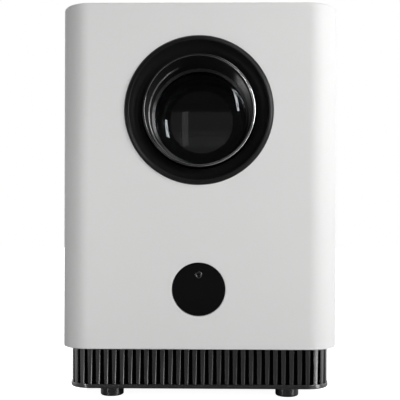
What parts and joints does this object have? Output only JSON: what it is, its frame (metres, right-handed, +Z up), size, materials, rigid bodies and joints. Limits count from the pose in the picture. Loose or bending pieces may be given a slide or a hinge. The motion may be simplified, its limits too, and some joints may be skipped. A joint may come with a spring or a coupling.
{
  "type": "video projector",
  "caption": "Upright mini projector: white rounded sleeve on a ribbed black base, recessed lens in a dished bezel, round sensor window, moving focus lens, rear fan and sockets.",
  "frame": {"origin": "middle of the footprint, on the surface that the feet stand on", "axes": "+Z up, the lens looks along -Y, +X to the right seen from the front"},
  "size_m": [0.12, 0.1212, 0.17],
  "materials": {
    "white_plastic": "fine satin moulded white",
    "black_plastic": "satin moulded black",
    "bezel_black": "half gloss black",
    "lens_black": "blackened, low glare",
    "optical_glass": "polished, coated",
    "window_black": "polished dark acrylic",
    "rubber": "matt",
    "steel": "bright plated",
    "aluminium": "extruded",
    "brass": "turned",
    "mirror": "front surface mirror",
    "reflector_white": "reflecting white",
    "led_yellow": "phosphor",
    "lcd_dark": "polished",
    "flex_amber": "film",
    "board_green": "solder mask",
    "device_black": "moulded"
  },
  "bodies": {
    "housing": {"outer_sleeve": "white_plastic", "top_cover": "white_plastic", "rear_panel": "black_plastic", "base_skirt": "black_plastic", "base_plate": "black_plastic", "engine_case": "black_plastic", "mirror_cover": "black_plastic", "lens_mount": "black_plastic", "lens_bezel": "bezel_black", "condenser_lens": "optical_glass", "heat_glass": "optical_glass", "collimator_fresnel": "optical_glass", "field_fresnel": "optical_glass", "sensor_window": "window_black", "front_left_foot": "rubber", "front_right_foot": "rubber", "rear_left_foot": "rubber", "rear_right_foot": "rubber", "case_screws": "steel", "lens_mount_screws": "steel", "mirror_screws": "steel", "heat_sink_screws": "steel", "fan_screws": "steel", "board_screws": "steel", "sensor_screws": "steel", "focus_bracket": "steel", "focus_motor": "steel", "hdmi_socket": "steel", "usb_sockets": "steel", "power_switch": "steel", "heat_sink": "aluminium", "led_board": "aluminium", "tripod_insert": "brass", "fold_mirror": "mirror", "light_cone": "reflector_white", "lens_cup": "reflector_white", "led_chip": "led_yellow", "lcd_panel": "lcd_dark", "lcd_flex": "flex_amber", "main_board": "board_green", "sensor_board": "board_green", "board_components": "device_black", "audio_jack": "device_black", "dc_jack": "device_black", "camera_module": "device_black", "ir_receiver": "device_black", "fan_frame": "device_black", "speaker_frame": "device_black", "speaker_cone": "device_black"},
    "lens": {"lens_barrel": "lens_black", "front_lens": "optical_glass", "middle_lens": "optical_glass", "rear_lens": "optical_glass", "lens_spacers": "lens_black", "retaining_ring": "lens_black", "focus_nut": "reflector_white"},
    "screw": {"lead_screw": "steel"},
    "fan": {"fan_rotor": "device_black"},
    "button": {"power_button": "bezel_black"}
  },
  "joints": [
    {"name": "focus_slide", "type": "slide", "parent": "housing", "child": "lens", "axis": [0, -1, 0], "range_m": [-0.002, 0.004]},
    {"name": "screw_turn", "type": "hinge", "parent": "housing", "child": "screw", "pos_m": [0.0335, -0.0315, 0.124], "axis": [0, 1, 0], "range_deg": [-720.5, 1440.5]},
    {"name": "fan_spin", "type": "hinge", "parent": "housing", "child": "fan", "pos_m": [0, 0.0527, 0.05745], "axis": [0, 1, 0], "continuous": true},
    {"name": "button_press", "type": "slide", "parent": "housing", "child": "button", "axis": [0, -1, 0], "range_m": [0, 0.0008], "stiffness_N_per_m": 800}
  ],
  "couplings": [
    {"joint": "screw_turn", "follows": "focus_slide", "rad_per_m": 6283.2}
  ]
}
